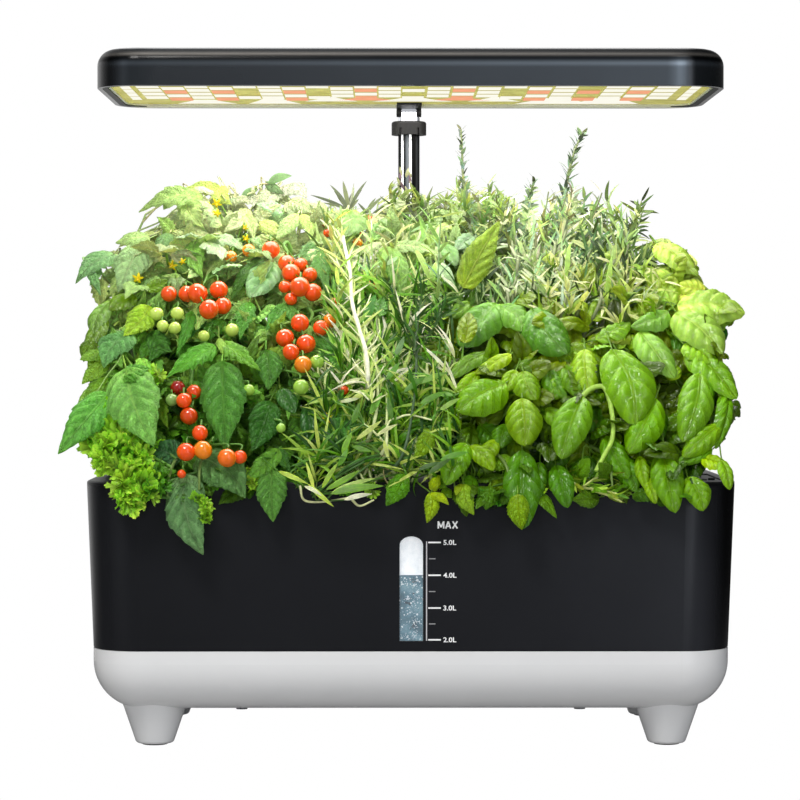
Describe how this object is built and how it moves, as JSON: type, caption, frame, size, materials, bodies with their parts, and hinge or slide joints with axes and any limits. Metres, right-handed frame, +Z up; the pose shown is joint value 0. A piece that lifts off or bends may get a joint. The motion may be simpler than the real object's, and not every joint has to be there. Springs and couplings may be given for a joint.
{
  "type": "countertop hydroponic garden",
  "caption": "Rounded reservoir on cone legs with a water-level window and a deck of net pots full of herbs and tomatoes, under a flat LED grow lamp on a telescopic, tilting mast.",
  "frame": {"origin": "on the ground, under the middle of the object", "axes": "+Z up, front with the water-level window towards -Y, +X to the right seen from the front"},
  "size_m": [0.38, 0.244, 0.377],
  "materials": {
    "tray": "gloss",
    "tank": "satin",
    "deck": "satin",
    "dark_plastic": "satin",
    "grey_plastic": "satin",
    "white_plastic": "gloss",
    "clear": "polished",
    "rubber": "matte",
    "steel": "satin",
    "chrome": "polished",
    "black_tube": "gloss",
    "black_metal": "satin",
    "lamp": "satin",
    "board": "satin",
    "alu": "satin",
    "led_white": "gloss",
    "led_red": "gloss",
    "circuit": "satin",
    "foam": "matte",
    "hose": "satin",
    "foliage": "matte"
  },
  "bodies": {
    "garden": {"basil_plant": "foliage", "board_switches": "dark_plastic", "clamp_bush": "white_plastic", "control_board": "circuit", "control_box": "dark_plastic", "control_panel": "grey_plastic", "foot_pads": "rubber", "growing_plugs": "foam", "hatch_pin": "steel", "inlet_nut": "dark_plastic", "leg_screws": "steel", "legs": "tray", "level_window": "clear", "lower_tray": "tray", "mast_outer_tube": "black_tube", "mast_socket": "dark_plastic", "net_pots": "dark_plastic", "parsley_plant": "foliage", "planting_deck": "deck", "power_inlet": "dark_plastic", "pump_body": "dark_plastic", "pump_cover": "dark_plastic", "pump_feet": "rubber", "pump_filter": "foam", "pump_hose": "hose", "pump_lead": "rubber", "pump_shaft": "steel", "reservoir_tank": "tank", "rosemary_plant": "foliage", "socket_screws": "steel", "tank_screws": "steel", "tarragon_plant": "foliage", "tomato_plant": "foliage", "trailing_leaves": "foliage", "window_seal": "rubber"},
    "lamp": {"lamp_housing": "lamp", "lamp_bezel": "lamp", "light_border": "white_plastic", "led_board": "board", "heat_spreader": "alu", "led_driver": "dark_plastic", "led_chips_white": "led_white", "led_chips_red": "led_red", "tilt_bracket": "black_metal", "bracket_screw": "steel", "bezel_screws": "steel"},
    "mast_slider": {"mast_inner_tube": "chrome", "tilt_tongue": "chrome", "tilt_pin": "steel"},
    "collar": {"lock_collar": "dark_plastic"},
    "light_button": {"light_button": "dark_plastic"},
    "pump_button": {"pump_button": "dark_plastic"},
    "hatch": {"fill_hatch": "deck"},
    "impeller": {"pump_impeller": "white_plastic"}
  },
  "joints": [
    {"name": "mast_height", "type": "slide", "parent": "garden", "child": "mast_slider", "axis": [0, 0, 1], "range_m": [0, 0.12]},
    {"name": "lamp_tilt", "type": "hinge", "parent": "mast_slider", "child": "lamp", "pos_m": [0, 0.066, 0.3526], "axis": [-1, 0, 0], "range_deg": [0, 30]},
    {"name": "collar_twist", "type": "hinge", "parent": "garden", "child": "collar", "pos_m": [0, 0.066, 0.342], "axis": [0, 0, 1], "range_deg": [0, 60]},
    {"name": "light_press", "type": "slide", "parent": "garden", "child": "light_button", "axis": [0, 0, -1], "range_m": [0, 0.0008], "stiffness_N_per_m": 700, "springref_m": -0.0004},
    {"name": "pump_press", "type": "slide", "parent": "garden", "child": "pump_button", "axis": [0, 0, -1], "range_m": [0, 0.0008], "stiffness_N_per_m": 500, "springref_m": -0.0004},
    {"name": "hatch_hinge", "type": "hinge", "parent": "garden", "child": "hatch", "pos_m": [0.156, 0.0714, 0.1462], "axis": [-1, 0, 0], "range_deg": [0, 75]},
    {"name": "impeller_spin", "type": "hinge", "parent": "garden", "child": "impeller", "pos_m": [0.13, 0.04, 0.044], "axis": [1, 0, 0], "continuous": true}
  ]
}
